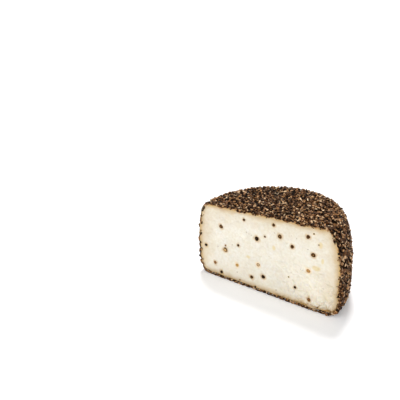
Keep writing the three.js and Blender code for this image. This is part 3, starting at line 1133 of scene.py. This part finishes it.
def make_grains():
    random = np.random.default_rng(SEED)
    inland = split(spread(2.45, 0.62, 0.3, random), (0.3, 0.32, 0.26, 0.12), random)
    edges = split(edge_row(1.0, 0.2, 1.1, (-0.4, 0.1), random), (0.36, 0.36, 0.18, 0.10), random)
    black, dark, brown, shell = zip(inland, edges)

    shapes = [nugget(random, number % 3 // 2) for number in range(16)]
    scatter_husks("black_husks", *black, shapes, (2.5, 2.05, 1.2), 0.42,
                  (HUSK_BLACK, KERNEL_TONES, 0.32), random)

    shapes = [nugget(random, number % 2, breaks=4, reach=(0.12, 0.34)) for number in range(16)]
    scatter_husks("dark_husks", *dark, shapes, (2.55, 2.05, 1.15), 0.42,
                  (HUSK_DARK, KERNEL_TONES, 0.34), random)

    shapes = [nugget(random, 1 + number % 2, 7, 5, 5, (0.12, 0.34)) for number in range(16)]
    scatter_husks("brown_husks", *brown, shapes, (2.45, 1.95, 1.1), 0.46,
                  (HUSK_BROWN, KERNEL_TONES, 0.38), random)

    shapes = [curved_shell(random) for _ in range(16)]
    scatter_husks("husk_shells", *shell, shapes, (2.8, 2.6, 2.1), 0.7,
                  (HUSK_SHELL, SHELL_TONES, 0.36), random, True)

    grains = both(spread(4.6, 0.55, 0.3, random), edge_row(3.4, 0.9, 1.7, (-0.2, 0.2), random))
    shapes = [chunk(random, breaks=5) for _ in range(14)]
    scatter_loose("pepper_kernels", grains, shapes, (1.8, 1.35, 1.0), 0.3, 0.6,
                  (KERNEL_TONES, KERNEL_TONES, 0.5), "pepper_kernel", random)

    # The crumbs under the husks are near-black, partly as painted shade in the gaps
    grains = both(spread(2.6, 1.3, 0.3, random), edge_row(1.0, 0.1, 1.2, (-0.45, 0.0), random))
    shapes = [chunk(random, breaks=5, pale_breaks=0) for _ in range(14)]
    scatter_loose("black_crumbs", grains, shapes, (1.9, 1.5, 1.1), 0.3, 0.7,
                  (GAP_SHADE_BLACK, KERNEL_TONES, 0.5, 0.1), "pepper_husk", random)

    grains = both(spread(5.6, 0.25, 0.25, random), edge_row(4.0, 0.6, 1.4, (-0.2, 0.1), random))
    shapes = [sliver(random) for _ in range(12)]
    scatter_loose("husk_slivers", grains, shapes, (1.9, 2.4, 2.8), 0.3, 0.8,
                  (STRIP_TONES, STRIP_TONES, 0.36), "pepper_husk", random)

    grains = both(spread(3.8, 1.5, 0.5, random), edge_row(1.8, 0.7, 2.1, (-0.25, 0.1), random))
    shapes = [chunk(random, 4, 3, 3) for _ in range(8)]
    scatter_loose("pepper_dust", grains, shapes, (0.85, 0.7, 0.6), 0.4, 0.6,
                  (DUST_TONES, DUST_TONES, 0.6), "pepper_kernel", random)


# ---- Peppercorns in the cut ----

CORN_COLOURS = {
    # colour of the core, of the flesh and of the husk, from the middle outward
    "black": ((50, 34, 18), (34, 22, 10), (66, 42, 18)),
    "dark": ((116, 84, 46), (74, 49, 24), (84, 54, 24)),
    "split": ((164, 126, 76), (90, 60, 30), (74, 47, 20)),
    "ring": ((236, 214, 168), (206, 168, 112), (52, 33, 18)),
    "brown": ((166, 120, 70), (148, 104, 60), (116, 80, 46)),
    "amber": ((212, 180, 112), (204, 168, 100), (182, 142, 84)),
    "tan": ((226, 206, 174), (206, 178, 138), (136, 102, 64)),
    "orange": ((206, 168, 110), (194, 152, 94), (170, 124, 72)),
    "olive": ((150, 138, 84), (140, 126, 76), (120, 104, 64)),
}
CORN_SIDES = 20
CORN_RINGS = 8
CORN_FIT = 1.05
# Waves round a corn's edge: depth and number
CORN_WAVES = ((0.06, 2.0), (0.05, 3.0), (0.03, 7.0))


def corn_colours(kind, across, random):
    """A colour to each point of a corn, from its core through its flesh to its husk."""
    core, flesh, husk = (np.array(srgb(*colour)) for colour in CORN_COLOURS[kind])
    level = np.concatenate([[0.0], np.repeat(across, CORN_SIDES), [1.0]])
    level = level + 0.08 * random.uniform(-1.0, 1.0, len(level))
    to_flesh = smooth_step(level / 0.55)[:, None]
    to_husk = smooth_step((level - 0.6) / 0.2)[:, None]
    colours = core + (flesh - core) * to_flesh
    return colours + (husk - colours) * to_husk


def corn_shape(corn, random):
    """A corn, or what is left in its socket, with a colour to each point."""
    x, z, width, crown, kind = corn
    across = np.linspace(0.0, 1.0, CORN_RINGS + 1)[1:]
    turns = np.linspace(0.0, 2.0 * math.pi, CORN_SIDES, endpoint=False)
    waves = np.zeros(CORN_SIDES)
    for depth, number in CORN_WAVES:
        waves = waves + depth * np.sin(number * turns + random.uniform(0, 6))
    radius = across[:, None] * (1.0 + waves[None, :]) * width / 2 * CORN_FIT
    height = max(abs(crown), 0.2)
    dome = height * (np.sqrt(np.clip(1.0 - (across * 0.97) ** 2, 0.0, 1.0)) - 0.25)
    if kind in ("ring", "split"):
        dome = dome * 0.5 + 0.35 * height * np.exp(-(((across - 0.82) / 0.16) ** 2))
    if crown < 0.0:
        dome = crown * (1.0 - across**2) + 0.2 + 0.5 * height * np.exp(-((across / 0.55) ** 2))
    dome[-1] = min(dome[-1], 0.0) - 0.35
    bumps = 0.05 * random.uniform(-1.0, 1.0, radius.shape)
    proud = dome[:, None] + bumps
    base = cut_relief(np.array([x]), np.array([z]))[0]
    top = np.array([[x, base - (dome[0] + 0.02), z]])
    ring_x, ring_z = x + radius * np.cos(turns), z + radius * np.sin(turns)
    rings = np.stack([ring_x, cut_relief(ring_x, ring_z) - proud, ring_z], axis=-1).reshape(-1, 3)
    back = np.array([[x, base + 0.9, z]])
    points = np.concatenate([top, rings, back])
    faces = []
    end = len(points) - 1
    for side in range(CORN_SIDES):
        following = (side + 1) % CORN_SIDES
        faces.append((0, 1 + following, 1 + side))
        for ring in range(CORN_RINGS - 1):
            a, b = 1 + ring * CORN_SIDES + side, 1 + ring * CORN_SIDES + following
            faces += [(a, b, b + CORN_SIDES), (a, b + CORN_SIDES, a + CORN_SIDES)]
        outer = 1 + (CORN_RINGS - 1) * CORN_SIDES
        faces.append((end, outer + side, outer + following))
    return points, np.array(faces), corn_colours(kind, across, random)


def make_corns():
    random = np.random.default_rng(SEED + 1)
    points, faces, colours, start = [], [], [], 0
    for corn in CORNS:
        shape, triangles, colour = corn_shape(corn, random)
        points.append(shape)
        faces.append(triangles + start)
        colours.append(colour)
        start += len(shape)
    mesh = make_mesh("peppercorns", np.concatenate(points), np.concatenate(faces))
    layer = mesh.color_attributes.new("corn_colour", "FLOAT_COLOR", "POINT")
    layer.data.foreach_set("color", np.concatenate(colours).astype(np.float32).ravel())
    weld(mesh)
    add_piece(mesh, corn_material())


# ---- Camera, floor and light ----

VIEW_AZIMUTH = math.radians(40.15)
VIEW_ELEVATION = math.radians(22.7)
VIEW_ROLL = math.radians(-3.18)
VIEW_DISTANCE = 357.4
VIEW_TARGET = (-50.6, 0.0, 55.8)
LENS_PIXELS = 520.0
FRAME_PIXELS = 400.0
SENSOR = 36.0
FLOOR_HALF = 90.0


def axes_matrix(right, up, back, place=(0.0, 0.0, 0.0)):
    """The matrix of an object at a place, whose own axes point in three directions."""
    rows = np.stack([right, up, back, place], axis=1)
    return Matrix([*rows.tolist(), [0.0, 0.0, 0.0, 1.0]])


def make_camera():
    back = np.array([
        math.sin(VIEW_AZIMUTH) * math.cos(VIEW_ELEVATION),
        -math.cos(VIEW_AZIMUTH) * math.cos(VIEW_ELEVATION),
        math.sin(VIEW_ELEVATION),
    ])
    level = np.cross(-back, [0.0, 0.0, 1.0])
    level /= np.linalg.norm(level)
    upright = np.cross(level, -back)
    right = level * math.cos(VIEW_ROLL) + upright * math.sin(VIEW_ROLL)
    up = upright * math.cos(VIEW_ROLL) - level * math.sin(VIEW_ROLL)
    place = to_frame([np.array(VIEW_TARGET) + back * VIEW_DISTANCE])[0]
    camera = add_object("camera", bpy.data.cameras.new("camera"))
    camera.data.sensor_width = SENSOR
    camera.data.lens = LENS_PIXELS * SENSOR / FRAME_PIXELS
    camera.data.clip_start = 0.01
    camera.data.clip_end = 400.0
    camera.matrix_world = axes_matrix(right, up, back, place)
    bpy.context.scene.camera = camera


def make_floor():
    nodes = Nodes("studio_floor")
    colour = nodes.ramp(nodes.noise(400.0, 2.0), [(0.3, srgb(236, 236, 237)), (0.7, srgb(239, 239, 240))])
    # The floor glows a little: painted light that lightens the shadows on it
    material = nodes.finish(
        colour, Roughness=0.8, Specular_IOR_Level=0.0, Emission_Color=WHITE, Emission_Strength=0.2,
    )
    half = FLOOR_HALF
    mesh = bpy.data.meshes.new("studio_floor")
    corners = [(-half, -half, 0), (half, -half, 0), (half, half, 0), (-half, half, 0)]
    mesh.from_pydata(corners, [], [(0, 1, 2, 3)])
    mesh.materials.append(material)
    floor = add_object("studio_floor", mesh)


def add_softbox(name, towards, strength, width, colour):
    """A soft light so large and far away that it lights the whole floor evenly."""
    light = bpy.data.lights.new(name, "SUN")
    light.energy = strength
    light.angle = math.radians(width)
    light.color = colour
    lamp = add_object(name, light)
    away = np.array(towards) / np.linalg.norm(towards)
    side = np.cross([0.0, 0.0, 1.0], away)
    side /= np.linalg.norm(side)
    top = np.cross(away, side)
    lamp.matrix_world = axes_matrix(side, top, away)


# The studio's walls are white at the horizon and darker above: sines of their heights, and their strengths
HORIZON_TOP = 0.2
SKY_FROM = 0.5
HORIZON_LIGHT = 1.03
SKY_LIGHT = 0.54


def make_light():
    world = bpy.data.worlds.new("studio")
    world.use_nodes = True
    new, link = world.node_tree.nodes.new, world.node_tree.links.new
    background = world.node_tree.nodes["Background"]
    background.inputs["Color"].default_value = WHITE
    place = new("ShaderNodeTexCoord")
    parts = new("ShaderNodeSeparateXYZ")
    fade = new("ShaderNodeMapRange")
    fade.interpolation_type = "SMOOTHSTEP"
    settings = {"From Min": HORIZON_TOP, "From Max": SKY_FROM, "To Min": HORIZON_LIGHT, "To Max": SKY_LIGHT}
    for name, value in settings.items():
        fade.inputs[name].default_value = value
    link(place.outputs["Generated"], parts.inputs["Vector"])
    link(parts.outputs["Z"], fade.inputs["Value"])
    link(fade.outputs["Result"], background.inputs["Strength"])
    bpy.context.scene.world = world
    add_softbox("key", (-0.05, -0.9, 0.8), 0.75, 50.0, (1.0, 0.99, 0.97))
    add_softbox("back", (-0.3, 0.5, 1.2), 2.4, 16.0, (1.0, 0.99, 0.98))
    view = bpy.context.scene.view_settings
    view.view_transform = "Standard"
    view.look = "None"
    view.gamma = 0.86


make_paste()
make_crust()
make_grains()
make_corns()
make_camera()
make_floor()
make_light()
